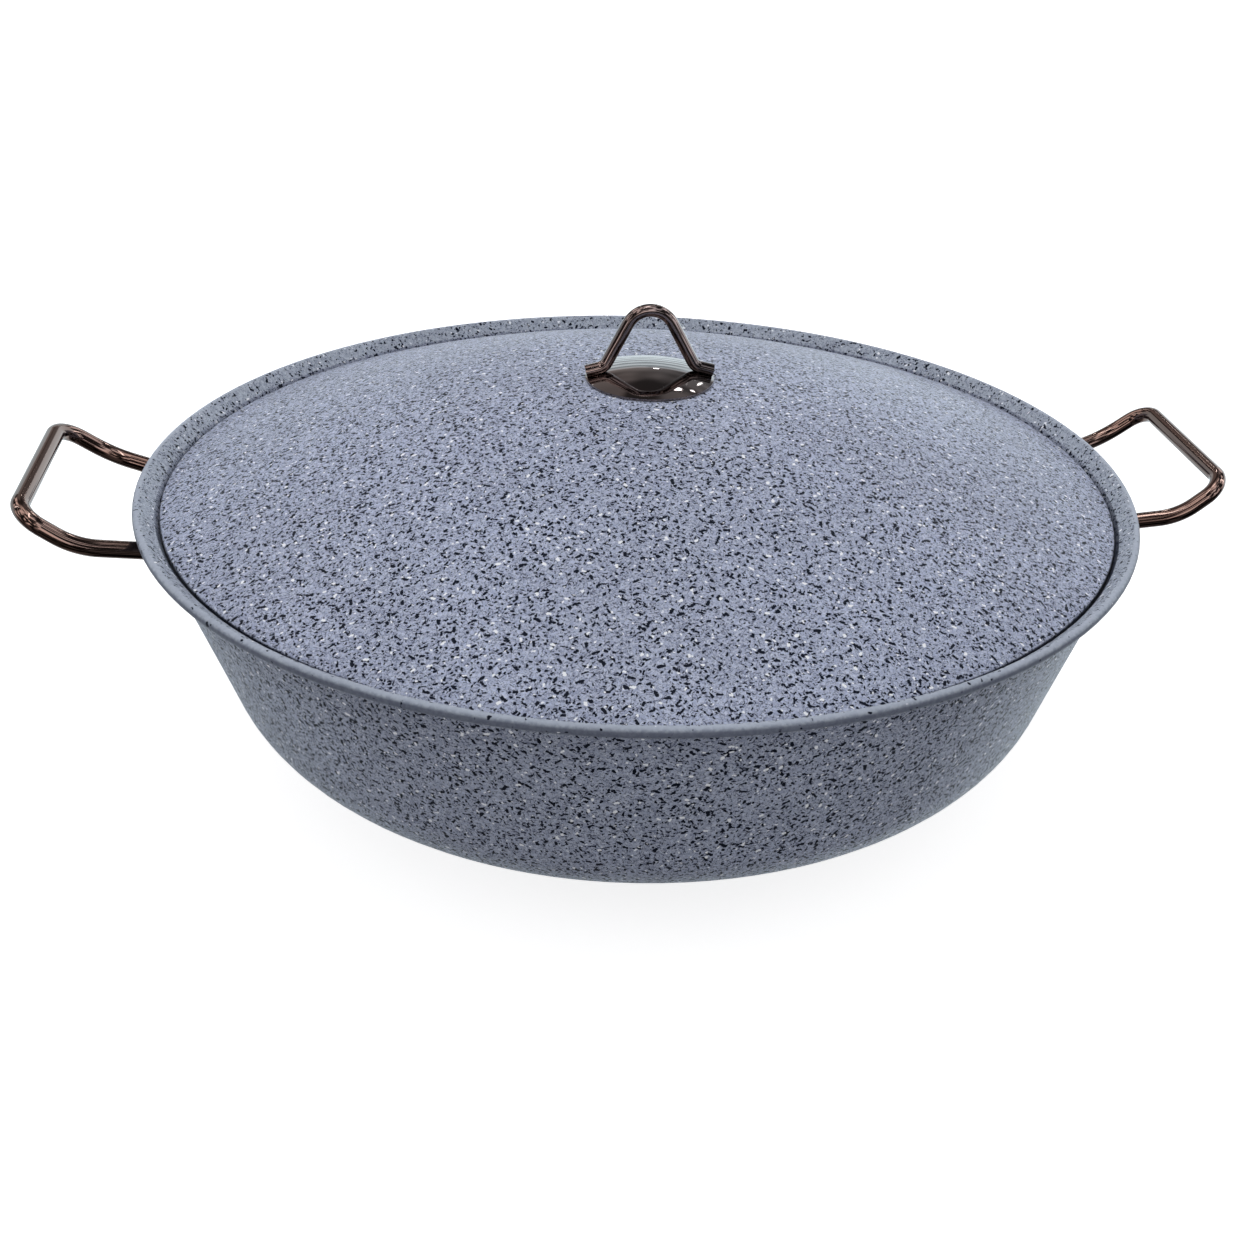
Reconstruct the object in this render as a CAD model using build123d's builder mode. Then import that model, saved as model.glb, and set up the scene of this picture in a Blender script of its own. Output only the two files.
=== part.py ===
from build123d import *

import os
from math import asin, cos, degrees, radians, sin, sqrt, tan

# Large deep pan for family or restaurant cooking, with two bent-bar side handles and a
# domed lid that lifts off by a small bow handle.
#
# Frame: millimetres, +Z up, origin at the middle of the flat underside. The side handles
# lie along X and the bow on the lid is in line with them.

# Pan body: one pressed sheet, from the flat base to the rolled rim
RIM_RADIUS = 240.0  # to the outside of the rolled rim
RIM_HEIGHT = 141.5  # table to the middle of the rolled rim
PAN_WALL = 2.0
WALL_FLARE = 16.8  # upper wall, degrees off vertical
KNUCKLE_RADIUS = 51.0  # tight bend between wall and belly, at mid-wall
BELLY_RADIUS = 309.0  # broad curve under the pan, at mid-wall
BELLY_ANGLE = 24.4  # degrees that the belly turns before the knuckle starts
FLANGE_RISE = 44.0  # flat rim flange, degrees above horizontal
FLANGE_WIDTH = 8.0  # along the flange, from the wall's corner to the roll
FLANGE_BEND = 4.0
CURL_RADIUS = 1.45  # roll at the rim's edge, at mid-wall
CURL_SWEEP = 235.0  # degrees that the edge is rolled round

# Side handles: one round bar each, bent to a wide U that rises to the grip
HANDLE_BAR_RADIUS = 4.0
HANDLE_ROOT_SPAN = 84.0  # between the bar's two ends at the wall
HANDLE_ROOT_DROP = 15.0  # bar ends below the middle of the rim
HANDLE_ELBOW_REACH = 19.7  # where the legs start to rise, out from the rim
HANDLE_ELBOW_SPAN = 103.8
HANDLE_ELBOW_DROP = 6.8
HANDLE_ELBOW_BEND = 36.7
HANDLE_GRIP_REACH = 41.5  # middle of the grip, out from the rim
HANDLE_GRIP_SPAN = 100.8
HANDLE_GRIP_RISE = 9.4  # grip above the middle of the rim
HANDLE_GRIP_BEND = 12.0

# Pads: curved plates riveted to the wall, with a bar end welded to each
PAD_THICKNESS = 2.5
PAD_WIDTH = 44.0
PAD_HEIGHT = 18.0
PAD_CORNER = 5.0

# Rivets: one each side of the bar on every pad
RIVET_SPACING = 28.0
RIVET_SHANK_RADIUS = 2.5
RIVET_HEAD_RADIUS = 5.2
RIVET_HEAD_HEIGHT = 2.0
RIVET_FIT = 0.05  # radial room round the shank

# Lid: thin domed sheet with a turned-down lip that sits inside the flared wall
LID_INSET = 1.79  # outside of the lip, in from the corner of wall and flange
LID_SHEET = 1.2
LID_LIP = 1.1
LID_EDGE_BEND = 0.9  # lip to skirt, at mid-sheet
CROWN_RADIUS = 430.0  # centre of the dome, at mid-sheet
CROWN_REACH = 120.0  # where the crown passes into the flatter skirt
SKIRT_RADIUS = 1700.0
LID_SEAT_GAP = 0.3  # between lip and wall

# Disc under the bow: shallow polished dome with a short rim
DISC_RADIUS = 30.6
DISC_SHEET = 1.0
DISC_RISE = 4.5  # crown of the disc above its rim
DISC_RIM_HEIGHT = 1.2

# Bow on the disc: round bar with feet that follow the disc's slope
BOW_BAR_RADIUS = 2.95
BOW_SPAN = 62.4  # tip to tip
BOW_HEIGHT = 34.6  # top of the bow above the lid
BOW_LEG_ANGLE = 61.4  # legs above horizontal
BOW_FOOT_LENGTH = 9.0
BOW_FOOT_BEND = 6.0
BOW_SEAT = 0.5  # flat pressed under each foot

# Fastening of the disc: boss under it, screwed from inside the lid
BOSS_RADIUS = 7.0
SCREW_RADIUS = 2.5
SCREW_END_GAP = 0.5  # from the screw's tip to the disc
SCREW_HEAD_RADIUS = 4.6
SCREW_HEAD_HEIGHT = 3.0
SCREW_FIT = 0.05
SCREW_HOLE_FIT = 0.4  # radial room in lid, seal and washer
SEAL_RADIUS = 9.0
SEAL_THICKNESS = 1.5
WASHER_RADIUS = 8.0
WASHER_THICKNESS = 1.2

# Wall of the pan, worked out from the rim downwards
FLARE = radians(WALL_FLARE)
RISE = radians(FLANGE_RISE)
WALL_SLOPE = 90.0 - WALL_FLARE
curl_centre = (RIM_RADIUS - CURL_RADIUS - PAN_WALL / 2, RIM_HEIGHT)
flange_end = (
    curl_centre[0] - CURL_RADIUS * sin(RISE),
    curl_centre[1] + CURL_RADIUS * cos(RISE),
)
corner = (
    flange_end[0] - FLANGE_WIDTH * cos(RISE),
    flange_end[1] - FLANGE_WIDTH * sin(RISE),
)
corner_cut = FLANGE_BEND * tan(radians(WALL_SLOPE - FLANGE_RISE) / 2)
belly_turn = radians(BELLY_ANGLE)
wall_turn = radians(WALL_SLOPE)
belly_rise = BELLY_RADIUS * (1 - cos(belly_turn))
knuckle_rise = KNUCKLE_RADIUS * (cos(belly_turn) - cos(wall_turn))
wall_foot = PAN_WALL / 2 + belly_rise + knuckle_rise


def wall_radius(height, offset=0.0):
    """Radius of the upper wall at a height, at a distance outside the middle of the sheet."""
    return corner[0] - (corner[1] - height) * tan(FLARE) + offset / cos(FLARE)


knuckle_reach = KNUCKLE_RADIUS * (sin(wall_turn) - sin(belly_turn))
BASE_RADIUS = wall_radius(wall_foot) - knuckle_reach - BELLY_RADIUS * sin(belly_turn)
wall_run = (corner[1] - wall_foot) / cos(FLARE) - corner_cut
flange_run = FLANGE_WIDTH - corner_cut


def bowl_side(offset):
    """One face of the pan's sheet, drawn from the axis out to the rolled edge.

    offset is the distance outside the middle of the sheet, negative inside it.
    """
    base = Line((0, PAN_WALL / 2 - offset), (BASE_RADIUS, PAN_WALL / 2 - offset))
    belly = JernArc(base @ 1, base % 1, BELLY_RADIUS + offset, BELLY_ANGLE)
    knuckle = JernArc(belly @ 1, belly % 1, KNUCKLE_RADIUS + offset, WALL_SLOPE - BELLY_ANGLE)
    wall = PolarLine(knuckle @ 1, wall_run, WALL_SLOPE)
    bend = JernArc(wall @ 1, wall % 1, FLANGE_BEND - offset, FLANGE_RISE - WALL_SLOPE)
    flange = PolarLine(bend @ 1, flange_run, FLANGE_RISE)
    curl = JernArc(flange @ 1, flange % 1, CURL_RADIUS - offset, -CURL_SWEEP)
    return base @ 0, curl @ 1


def wall_section(inside, outside, low, high, plane=Plane.XZ):
    """Section of a strip along the upper wall, between two offsets and two heights."""
    with BuildSketch(plane) as section:
        with BuildLine():
            Polyline(
                (wall_radius(low, inside), low),
                (wall_radius(low, outside), low),
                (wall_radius(high, outside), high),
                (wall_radius(high, inside), high),
                close=True,
            )
        make_face()
    return section.sketch


# Handle roots on the wall. Names of sides: +X is right, and -Y is the front
OUTER_FACE = PAN_WALL / 2
PAD_FACE = OUTER_FACE + PAD_THICKNESS
root_height = RIM_HEIGHT - HANDLE_ROOT_DROP
root_radius = wall_radius(root_height, OUTER_FACE)
root_azimuth = degrees(asin(HANDLE_ROOT_SPAN / 2 / root_radius))
rivet_step = degrees(RIVET_SPACING / 2 / root_radius)
SIDES = {"right": 0.0, "left": 180.0}
ENDS = {"front": -1, "back": 1}


def on_side(side, end):
    """Azimuth of a bar end, in degrees. The left handle is the right one turned round."""
    return SIDES[side] + ENDS[end] * root_azimuth * (1 if side == "right" else -1)


def rivet_plane(azimuth):
    """Plane on the wall's outer face at the handle roots, with z square out of the wall."""
    a = radians(azimuth)
    outward = (cos(a) * cos(FLARE), sin(a) * cos(FLARE), -sin(FLARE))
    origin = (root_radius * cos(a), root_radius * sin(a), root_height)
    return Plane(origin=origin, x_dir=(-sin(a), cos(a), 0), z_dir=outward)


def rivet_azimuths(side):
    """Azimuths of the rivets of one handle."""
    return [on_side(side, end) + step for end in ENDS for step in (-rivet_step, rivet_step)]


hole_places = [rivet_plane(a).location for side in SIDES for a in rivet_azimuths(side)]

# Pan body
with BuildPart() as pan_body:
    with BuildSketch(Plane.XZ):
        with BuildLine():
            outer_start, outer_end = bowl_side(PAN_WALL / 2)
            inner_start, inner_end = bowl_side(-PAN_WALL / 2)
            Line(outer_start, inner_start)
            Line(outer_end, inner_end)
        make_face()
    revolve(axis=Axis.Z)
    with Locations(*hole_places):
        Cylinder(RIVET_SHANK_RADIUS + RIVET_FIT, 4 * PAN_WALL, mode=Mode.SUBTRACT)
pan_body.part.label = "pan_body"

parts = [pan_body]

# Handle pads: a strip of the band outside the wall, cut by two planes through the axis
pad_reach = PAD_HEIGHT / 2 * cos(FLARE)
pad_low, pad_high = root_height - pad_reach, root_height + pad_reach
pad_span = degrees(PAD_WIDTH / root_radius)


def handle_pad(azimuth):
    """Curved plate on the wall, centred on one end of the handle bar."""
    a = radians(azimuth - pad_span / 2)
    start = Plane(origin=(0, 0, 0), x_dir=(cos(a), sin(a), 0), z_dir=(sin(a), -cos(a), 0))
    strip = wall_section(OUTER_FACE, PAD_FACE, pad_low, pad_high, start)
    with BuildPart() as pad:
        revolve(strip, axis=Axis.Z, revolution_arc=pad_span)
        fillet(pad.edges().group_by(SortBy.LENGTH)[0], PAD_CORNER)
        with Locations(*[rivet_plane(azimuth + s).location for s in (-rivet_step, rivet_step)]):
            Cylinder(RIVET_SHANK_RADIUS + RIVET_FIT, 4 * PAD_FACE, mode=Mode.SUBTRACT)
    return pad


for side in SIDES:
    for end in ENDS:
        pad = handle_pad(on_side(side, end))
        pad.part.label = f"{side}_handle_{end}_pad"
        parts.append(pad)


# Handle bars: swept from inside the wall and trimmed to the pads' outer face
def handle_bar(side):
    """Bent round bar from one pad, out round the grip and back to the other pad."""
    turn = 1 if side == "right" else -1
    corners = [
        (RIM_RADIUS + HANDLE_ELBOW_REACH, HANDLE_ELBOW_SPAN / 2, RIM_HEIGHT - HANDLE_ELBOW_DROP),
        (RIM_RADIUS + HANDLE_GRIP_REACH, HANDLE_GRIP_SPAN / 2, RIM_HEIGHT + HANDLE_GRIP_RISE),
    ]
    root = (root_radius * cos(radians(root_azimuth)), HANDLE_ROOT_SPAN / 2, root_height)
    half = [root, *corners]
    route = [(turn * x, -turn * y, z) for x, y, z in half]
    route += [(turn * x, turn * y, z) for x, y, z in reversed(half)]
    bends = [HANDLE_ELBOW_BEND, HANDLE_GRIP_BEND, HANDLE_GRIP_BEND, HANDLE_ELBOW_BEND]
    trim = 3 * HANDLE_BAR_RADIUS
    wall = wall_section(-trim, PAD_FACE, root_height - trim, root_height + trim)
    with BuildPart() as bar:
        with BuildLine() as path:
            FilletPolyline(*route, radius=bends)
        with BuildSketch(Plane(origin=path.line @ 0, z_dir=path.line % 0)):
            Circle(HANDLE_BAR_RADIUS)
        sweep(path=path.line)
        revolve(wall, axis=Axis.Z, mode=Mode.SUBTRACT)
    return bar


# Rivets: domed heads trimmed to wall and pad, joined by the shank
def rivet_group(side):
    """The rivets of one handle, as separate solids."""
    inner, outer = -PAN_WALL, PAD_THICKNESS
    dome = (RIVET_HEAD_RADIUS**2 + RIVET_HEAD_HEIGHT**2) / (2 * RIVET_HEAD_HEIGHT)
    dome_turn = degrees(asin(RIVET_HEAD_RADIUS / dome))
    reach = 2 * RIVET_HEAD_RADIUS
    wall = wall_section(-OUTER_FACE, PAD_FACE, root_height - reach, root_height + reach)
    places = [rivet_plane(azimuth) for azimuth in rivet_azimuths(side)]
    with BuildPart() as rivets:
        for place in places:
            for face, way in ((outer, 1), (inner, -1)):
                across = Plane(
                    origin=place.origin + place.z_dir * face,
                    x_dir=place.x_dir,
                    z_dir=place.x_dir.cross(place.z_dir * way),
                )
                with BuildSketch(across):
                    with BuildLine():
                        head = JernArc((0, RIVET_HEAD_HEIGHT), (1, 0), dome, -dome_turn)
                        side_line = PolarLine(head @ 1, PAN_WALL / 4, -90)
                        foot = Line(side_line @ 1, (0, -PAN_WALL / 4))
                        Line(foot @ 1, head @ 0)
                    make_face()
                revolve(axis=Axis(place.origin, place.z_dir))
        revolve(wall, axis=Axis.Z, mode=Mode.SUBTRACT)
        for place in places:
            with BuildSketch(place.offset(inner - RIVET_HEAD_HEIGHT / 2)):
                Circle(RIVET_SHANK_RADIUS)
            extrude(amount=outer - inner + RIVET_HEAD_HEIGHT)
    return rivets


for side in SIDES:
    bar = handle_bar(side)
    bar.part.label = f"{side}_handle_bar"
    rivets = rivet_group(side)
    rivets.part.label = f"{side}_handle_rivets"
    parts += [bar, rivets]

# Dome of the lid, worked out from the lip upwards
lip_outside = corner[0] - LID_INSET
lip_radius = lip_outside - LID_SHEET / 2
seat_offset = -PAN_WALL / 2 - LID_SEAT_GAP
lip_bottom = corner[1] - (wall_radius(corner[1], seat_offset) - lip_outside) / tan(FLARE)
lip_top = lip_bottom + LID_LIP
crown_turn = asin(CROWN_REACH / CROWN_RADIUS)
edge_slope = asin(
    (lip_radius - LID_EDGE_BEND - CROWN_REACH + SKIRT_RADIUS * sin(crown_turn))
    / (SKIRT_RADIUS - LID_EDGE_BEND)
)
crown_foot = (
    lip_top
    + LID_EDGE_BEND * cos(edge_slope)
    + SKIRT_RADIUS * (cos(crown_turn) - cos(edge_slope))
)
crown_centre = crown_foot - CROWN_RADIUS * cos(crown_turn)
lid_top = crown_centre + CROWN_RADIUS + LID_SHEET / 2


def lid_side(offset):
    """One face of the lid's sheet, drawn from the lip in to the axis.

    offset is the distance outside the middle of the sheet, negative inside it.
    """
    lip = Line((lip_radius + offset, lip_bottom), (lip_radius + offset, lip_top))
    bend = JernArc(lip @ 1, lip % 1, LID_EDGE_BEND + offset, 90 - degrees(edge_slope))
    skirt = JernArc(
        bend @ 1, bend % 1, SKIRT_RADIUS + offset, degrees(edge_slope - crown_turn)
    )
    CenterArc(
        (0, crown_centre), CROWN_RADIUS + offset, 90 - degrees(crown_turn), degrees(crown_turn)
    )
    return lip @ 0, skirt @ 1


with BuildPart() as lid_shell:
    with BuildSketch(Plane.XZ):
        with BuildLine():
            outer_lip, _ = lid_side(LID_SHEET / 2)
            inner_lip, _ = lid_side(-LID_SHEET / 2)
            Line(outer_lip, inner_lip)
            Line((0, lid_top), (0, lid_top - LID_SHEET))
        make_face()
    revolve(axis=Axis.Z)
    with Locations((0, 0, lid_top)):
        Cylinder(SCREW_RADIUS + SCREW_HOLE_FIT, 6 * LID_SHEET, mode=Mode.SUBTRACT)
lid_shell.part.label = "lid_shell"

# Disc: domed sheet whose rim stands on the crown of the lid
crown_top_radius = CROWN_RADIUS + LID_SHEET / 2
crown_under_radius = CROWN_RADIUS - LID_SHEET / 2
rim_base = crown_centre + sqrt(crown_top_radius**2 - DISC_RADIUS**2)
dome_edge = rim_base + DISC_RIM_HEIGHT
disc_dome_radius = (DISC_RADIUS**2 + DISC_RISE**2) / (2 * DISC_RISE)
disc_dome_turn = degrees(asin(DISC_RADIUS / disc_dome_radius))
disc_centre = dome_edge + DISC_RISE - disc_dome_radius
disc_top = dome_edge + DISC_RISE

with BuildPart() as lid_disc:
    with BuildSketch(Plane.XZ):
        with BuildLine():
            dome = JernArc((0, disc_top), (1, 0), disc_dome_radius, -disc_dome_turn)
            Polyline(dome @ 1, (DISC_RADIUS, crown_centre), (0, crown_centre), (0, disc_top))
        make_face()
        with Locations((0, disc_centre)):
            Circle(disc_dome_radius - DISC_SHEET, mode=Mode.SUBTRACT)
        with Locations((0, crown_centre)):
            Circle(crown_top_radius, mode=Mode.SUBTRACT)
    revolve(axis=Axis.Z)
lid_disc.part.label = "lid_disc"

# Bow: feet along the disc's slope, straight legs, one round bend at the top
foot_lift = disc_dome_radius + BOW_BAR_RADIUS - BOW_SEAT
foot_slope = asin((BOW_SPAN - BOW_FOOT_LENGTH) / 2 / (foot_lift + BOW_BAR_RADIUS))
foot_x, foot_z = foot_lift * sin(foot_slope), disc_centre + foot_lift * cos(foot_slope)
tip = (
    foot_x + BOW_FOOT_LENGTH / 2 * cos(foot_slope),
    foot_z - BOW_FOOT_LENGTH / 2 * sin(foot_slope),
)
heel = (
    foot_x - BOW_FOOT_LENGTH / 2 * cos(foot_slope),
    foot_z + BOW_FOOT_LENGTH / 2 * sin(foot_slope),
)
leg_angle = radians(BOW_LEG_ANGLE)
legs_meet = heel[1] + heel[0] * tan(leg_angle)
bow_top = lid_top + BOW_HEIGHT - BOW_BAR_RADIUS
top_bend = (legs_meet - bow_top) / (1 / cos(leg_angle) - 1)

with BuildPart() as lid_bow:
    with BuildLine(Plane.XZ) as bow_path:
        FilletPolyline(
            (-tip[0], tip[1]),
            (-heel[0], heel[1]),
            (0, legs_meet),
            heel,
            tip,
            radius=[BOW_FOOT_BEND, top_bend, BOW_FOOT_BEND],
        )
    with BuildSketch(Plane(origin=bow_path.line @ 0, z_dir=bow_path.line % 0)):
        Circle(BOW_BAR_RADIUS)
    sweep(path=bow_path.line)
    with Locations((0, 0, disc_centre)):
        Sphere(disc_dome_radius, mode=Mode.SUBTRACT)
lid_bow.part.label = "lid_bow"

# Boss: fills the space between lid and disc round the screw
with BuildPart() as lid_boss:
    with BuildSketch(Plane.XZ):
        with BuildLine():
            low, high = lid_top - LID_SHEET, disc_top
            Polyline((0, low), (BOSS_RADIUS, low), (BOSS_RADIUS, high), (0, high), close=True)
        make_face()
        with Locations((0, crown_centre)):
            Circle(crown_top_radius, mode=Mode.SUBTRACT)
        with Locations((0, disc_centre)):
            Circle(disc_dome_radius - DISC_SHEET, mode=Mode.INTERSECT)
    revolve(axis=Axis.Z)
    with Locations((0, 0, lid_top)):
        Cylinder(SCREW_RADIUS + SCREW_FIT, 2 * (disc_top - lid_top), mode=Mode.SUBTRACT)
lid_boss.part.label = "lid_boss"

# Seal, washer and screw under the lid
seal_bottom = lid_top - LID_SHEET - SEAL_THICKNESS
washer_bottom = seal_bottom - WASHER_THICKNESS

with BuildPart() as lid_seal:
    with BuildSketch(Plane.XZ):
        with BuildLine():
            hole = SCREW_RADIUS + SCREW_HOLE_FIT
            Polyline(
                (hole, seal_bottom), (SEAL_RADIUS, seal_bottom),
                (SEAL_RADIUS, lid_top), (hole, lid_top), close=True,
            )
        make_face()
        with Locations((0, crown_centre)):
            Circle(crown_under_radius, mode=Mode.INTERSECT)
    revolve(axis=Axis.Z)
lid_seal.part.label = "lid_seal"

with BuildPart() as lid_washer:
    with BuildSketch(Plane.XY.offset(washer_bottom)):
        Circle(WASHER_RADIUS)
        Circle(SCREW_RADIUS + SCREW_HOLE_FIT, mode=Mode.SUBTRACT)
    extrude(amount=WASHER_THICKNESS)
    chamfer(lid_washer.edges().group_by(Axis.Z)[0].sort_by(SortBy.LENGTH)[-1], 0.3)
lid_washer.part.label = "lid_washer"

with BuildPart() as lid_screw:
    with BuildSketch(Plane.XY.offset(washer_bottom)):
        Circle(SCREW_HEAD_RADIUS)
    extrude(amount=-SCREW_HEAD_HEIGHT)
    fillet(lid_screw.edges().group_by(Axis.Z)[0], SCREW_HEAD_HEIGHT / 2)
    with BuildSketch(Plane.XY.offset(washer_bottom)):
        Circle(SCREW_RADIUS)
    extrude(amount=disc_top - DISC_SHEET - SCREW_END_GAP - washer_bottom)
lid_screw.part.label = "lid_screw"

parts += [lid_shell, lid_disc, lid_bow, lid_boss, lid_seal, lid_washer, lid_screw]

os.makedirs("parts", exist_ok=True)
for piece in parts:
    export_step(piece.part, f"parts/{piece.part.label}.step")
print("base radius", round(BASE_RADIUS, 2), "lid top", round(lid_top, 2))
print("disc top", round(disc_top, 2), "top bend of the bow", round(top_bend, 2))
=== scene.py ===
"""Dressed scene of a large speckled pan with bent-bar handles and a domed lid.

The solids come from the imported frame. This file coats and plates them, adds the welds at the
bar ends, and sets the floor, the lights and the camera.
"""

import logging
from collections.abc import Mapping, Sequence
from dataclasses import dataclass, field
from enum import Enum
from math import asin, cos, pi, radians, sin

import bmesh
import bpy
from mathutils import Matrix, Vector


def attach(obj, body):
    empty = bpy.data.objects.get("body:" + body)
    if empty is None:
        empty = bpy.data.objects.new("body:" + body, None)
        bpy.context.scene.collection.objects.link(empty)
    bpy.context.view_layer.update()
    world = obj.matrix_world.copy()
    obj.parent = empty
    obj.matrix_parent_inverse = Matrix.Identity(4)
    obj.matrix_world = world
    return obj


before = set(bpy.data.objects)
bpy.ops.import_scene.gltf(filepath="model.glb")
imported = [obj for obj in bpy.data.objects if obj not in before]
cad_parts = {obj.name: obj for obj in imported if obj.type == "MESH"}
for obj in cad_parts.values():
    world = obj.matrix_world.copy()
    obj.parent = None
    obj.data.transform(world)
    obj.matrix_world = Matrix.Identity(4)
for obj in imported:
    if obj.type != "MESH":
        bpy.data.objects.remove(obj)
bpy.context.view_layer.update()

log = logging.getLogger("pan")
MM = 0.001
MERGE = 0.002 * MM

Socket = bpy.types.NodeSocket
Feed = Socket | float | Sequence[float]
Rgb = tuple[float, float, float]
Span = tuple[float, float]


class Body(Enum):
    """Rigid bodies of the frame."""

    PAN = "pan"
    LID = "lid"


class Slot(Enum):
    """Material slots of the record."""

    GRANITE = "granite_coat"
    BRONZE = "bronze_plate"
    STEEL = "bare_steel"
    SEAL = "seal_rubber"


class Graph:
    """A shader tree under construction."""

    def __init__(self, tree: bpy.types.NodeTree) -> None:
        """Start on an empty or half-built tree.

        Args:
            tree: Tree that the nodes go into.
        """
        self.tree = tree

    def feed(self, socket: Socket, value: Feed) -> None:
        """Link a socket into an input, or set the input's own value.

        Args:
            socket: Input to feed.
            value: Socket to link, or a number or vector to set.
        """
        if isinstance(value, bpy.types.NodeSocket):
            self.tree.links.new(value, socket)
        elif isinstance(value, (int, float)) or len(socket.default_value) == len(value):
            socket.default_value = value
        else:
            socket.default_value = (*value, 1.0)

    def node(self, kind: str, feeds: Mapping[str | int, Feed], **settings: object) -> bpy.types.Node:
        """Add a node.

        Args:
            kind: Node type, without the shader prefix.
            feeds: What goes into each input, by the input's name or number.
            **settings: Properties of the node.

        Returns:
            The new node.
        """
        node = self.tree.nodes.new(f"ShaderNode{kind}")
        for name, setting in settings.items():
            setattr(node, name, setting)
        for place, value in feeds.items():
            self.feed(node.inputs[place], value)
        return node

    def math(self, operation: str, *terms: Feed) -> Socket:
        """Work out one number from others.

        Args:
            operation: Name of the operation.
            *terms: Its terms, in order.

        Returns:
            The result.
        """
        return self.node("Math", dict(enumerate(terms)), operation=operation).outputs[0]

    def vector(self, operation: str, *terms: Feed) -> Socket:
        """Work out a vector, or a number from vectors.

        Args:
            operation: Name of the operation.
            *terms: Its vectors, in order.

        Returns:
            The result.
        """
        node = self.node("VectorMath", dict(enumerate(terms)), operation=operation)
        return node.outputs[1 if operation in ("DOT_PRODUCT", "LENGTH") else 0]

    def times(self, vector: Feed, factor: Feed) -> Socket:
        """Scale a vector by a number."""
        return self.node("VectorMath", {0: vector, 3: factor}, operation="SCALE").outputs[0]

    def part(self, vector: Feed, axis: int) -> Socket:
        """Pick one component of a vector."""
        return self.node("SeparateXYZ", {0: vector}).outputs[axis]

    def flat(self, vector: Feed, normal: Feed) -> Socket:
        """Part of a vector that lies along the surface.

        Args:
            vector: Any vector.
            normal: Unit vector square to the surface.

        Returns:
            The vector less its part along the normal.
        """
        along = self.vector("DOT_PRODUCT", vector, normal)
        return self.vector("SUBTRACT", vector, self.times(normal, along))

    def step(self, value: Feed, low: Feed, high: Feed, start: Feed = 0.0, end: Feed = 1.0) -> Socket:
        """Pass smoothly from one number to another.

        Args:
            value: Number that drives the change.
            low: Where the change starts.
            high: Where it ends.
            start: Result up to low.
            end: Result past high.

        Returns:
            The result.
        """
        feeds = {0: value, 1: low, 2: high, 3: start, 4: end}
        return self.node("MapRange", feeds, interpolation_type="SMOOTHSTEP").outputs[0]

    def mix(self, factor: Feed, under: Feed, over: Feed) -> Socket:
        """Blend two colours.

        Args:
            factor: Share of the second colour.
            under: First colour.
            over: Second colour.

        Returns:
            The blended colour.
        """
        return self.node("Mix", {0: factor, 6: under, 7: over}, data_type="RGBA").outputs[2]

    def between(self, factor: Feed, under: Feed, over: Feed) -> Socket:
        """Blend two numbers.

        Args:
            factor: Share of the second number.
            under: First number.
            over: Second number.

        Returns:
            The blended number.
        """
        return self.node("Mix", {0: factor, 2: under, 3: over}, data_type="FLOAT").outputs[0]

    def noise(self, place: Feed, size: float, detail: float = 2.0) -> Socket:
        """Cloudy number between 0 and 1.

        Args:
            place: Position in millimetres.
            size: Size of the clouds in millimetres.
            detail: Number of finer layers.

        Returns:
            The number.
        """
        feeds = {"Vector": place, "Scale": 1 / size, "Detail": detail}
        return self.node("TexNoise", feeds).outputs[0]


class Effect:
    """Shader node group that several finishes share."""

    name: str
    takes: dict[str, str]
    gives: dict[str, str]

    def wire(self, graph: Graph, given: Mapping[str, Socket]) -> Mapping[str, Socket]:
        """Fill the group.

        Args:
            graph: The group's tree.
            given: The group's inputs by name.

        Returns:
            What each output gets, by name.
        """
        raise NotImplementedError

    def tree(self) -> bpy.types.NodeTree:
        """Return the group's tree, built at its first use."""
        if self.name in bpy.data.node_groups:
            return bpy.data.node_groups[self.name]
        tree = bpy.data.node_groups.new(self.name, "ShaderNodeTree")
        for way, sockets in (("INPUT", self.takes), ("OUTPUT", self.gives)):
            for name, kind in sockets.items():
                tree.interface.new_socket(name, in_out=way, socket_type=f"NodeSocket{kind}")
        start, end = tree.nodes.new("NodeGroupInput"), tree.nodes.new("NodeGroupOutput")
        made = self.wire(Graph(tree), {name: start.outputs[name] for name in self.takes})
        for name, socket in made.items():
            tree.links.new(socket, end.inputs[name])
        return tree

    def use(self, graph: Graph, **feeds: Feed) -> bpy.types.Node:
        """Place the group in a finish.

        Args:
            graph: The finish's tree.
            **feeds: What goes into each input.

        Returns:
            The placed group.
        """
        node = graph.tree.nodes.new("ShaderNodeGroup")
        node.node_tree = self.tree()
        for name, value in feeds.items():
            graph.feed(node.inputs[name], value)
        return node


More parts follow.
